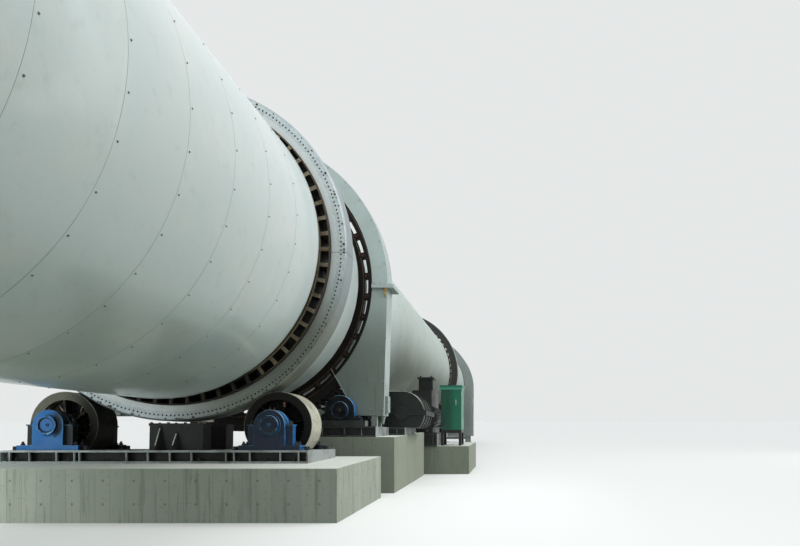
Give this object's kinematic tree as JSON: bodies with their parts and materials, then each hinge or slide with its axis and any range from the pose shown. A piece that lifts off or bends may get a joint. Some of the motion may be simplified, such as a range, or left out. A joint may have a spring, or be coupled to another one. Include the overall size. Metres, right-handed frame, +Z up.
{
  "type": "rotary drum dryer",
  "caption": "Long sloping insulated drum on two riding tyres and roller stations, turned by a guarded girth gear and pinion, with a fixed hood at each end.",
  "frame": {"origin": "on the floor, below the drum's axis at the mid-plane of the uphill tyre, on the underside of the near pier", "axes": "+Z up, +Y along the drum towards its low discharge end, +X to the side of the drive"},
  "size_m": [7.32, 36.4338, 7.4742],
  "materials": {
    "concrete": "board-marked concrete",
    "galvanised_steel": "dull galvanised",
    "blue_paint": "gloss paint",
    "black_paint": "semi-gloss paint",
    "dark_green_paint": "gloss paint",
    "green_paint": "gloss paint",
    "dark_grey_paint": "semi-gloss paint",
    "guard_paint": "satin paint",
    "hood_paint": "satin paint",
    "shell_steel": "oxidised steel",
    "cladding_sheet": "coated sheet",
    "tyre_steel": "rolled and machined",
    "pad_steel": "oxidised steel",
    "gear_steel": "cast and greased",
    "roller_steel": "machined tread",
    "shaft_steel": "turned"
  },
  "bodies": {
    "plant": {"near_pier": "concrete", "far_pier": "concrete", "drive_pier": "concrete", "motor_pier": "concrete", "near_base_frame": "galvanised_steel", "far_base_frame": "galvanised_steel", "pinion_base_frame": "galvanised_steel", "gearbox_base_frame": "galvanised_steel", "motor_base_frame": "galvanised_steel", "near_bearing_housings": "blue_paint", "far_bearing_housings": "blue_paint", "thrust_housings": "black_paint", "pinion_housings": "blue_paint", "gearbox": "dark_green_paint", "coupling_guard": "black_paint", "drive_motor": "dark_grey_paint", "terminal_box": "black_paint", "drive_cabinet": "green_paint", "cabinet_stand": "black_paint", "gear_guard_upper": "guard_paint", "gear_guard_lower": "guard_paint", "guard_posts": "guard_paint", "feed_hood": "hood_paint", "discharge_hood": "hood_paint", "hood_stands": "galvanised_steel"},
    "drum": {"drum_shell": "shell_steel", "cladding": "cladding_sheet", "near_tyre": "tyre_steel", "far_tyre": "tyre_steel", "near_tyre_pads": "pad_steel", "far_tyre_pads": "pad_steel", "girth_gear": "gear_steel", "gear_web": "gear_steel", "seal_discs": "pad_steel"},
    "near_left_wheel": {"near_left_roller": "roller_steel"},
    "near_right_wheel": {"near_right_roller": "roller_steel"},
    "far_left_wheel": {"far_left_roller": "roller_steel"},
    "far_right_wheel": {"far_right_roller": "roller_steel"},
    "pinion_set": {"pinion": "gear_steel", "pinion_shaft": "shaft_steel", "output_coupling": "shaft_steel"},
    "downhill_thrust": {"downhill_thrust_roller": "roller_steel"}
  },
  "joints": [
    {"name": "drum_spin", "type": "hinge", "parent": "plant", "child": "drum", "pos_m": [0, 0, 4.12], "axis": [0, 0.9994, -0.034], "continuous": true},
    {"name": "near_left_roller_spin", "type": "hinge", "parent": "plant", "child": "near_left_wheel", "pos_m": [-1.69463, -0.09597, 1.3013], "axis": [0, 0.9994, -0.034], "continuous": true},
    {"name": "near_right_roller_spin", "type": "hinge", "parent": "plant", "child": "near_right_wheel", "pos_m": [1.69463, -0.09597, 1.3013], "axis": [0, 0.9994, -0.034], "continuous": true},
    {"name": "far_left_roller_spin", "type": "hinge", "parent": "plant", "child": "far_left_wheel", "pos_m": [-1.69463, 18.29338, 0.67519], "axis": [0, 0.9994, -0.034], "continuous": true},
    {"name": "far_right_roller_spin", "type": "hinge", "parent": "plant", "child": "far_right_wheel", "pos_m": [1.69463, 18.29338, 0.67519], "axis": [0, 0.9994, -0.034], "continuous": true},
    {"name": "pinion_spin", "type": "hinge", "parent": "plant", "child": "pinion_set", "pos_m": [2.08263, 2.13926, 1.56374], "axis": [0, 0.9994, -0.034], "continuous": true},
    {"name": "downhill_thrust_spin", "type": "hinge", "parent": "plant", "child": "downhill_thrust", "pos_m": [0.17, 0.29424, 1.41842], "axis": [0, 0.034, 0.9994], "continuous": true}
  ],
  "couplings": [
    {"joint": "near_left_roller_spin", "follows": "drum_spin", "ratio": -5.0926},
    {"joint": "near_right_roller_spin", "follows": "drum_spin", "ratio": -5.0926},
    {"joint": "far_left_roller_spin", "follows": "drum_spin", "ratio": -5.0926},
    {"joint": "far_right_roller_spin", "follows": "drum_spin", "ratio": -5.0926},
    {"joint": "pinion_spin", "follows": "drum_spin", "ratio": -7.1}
  ]
}
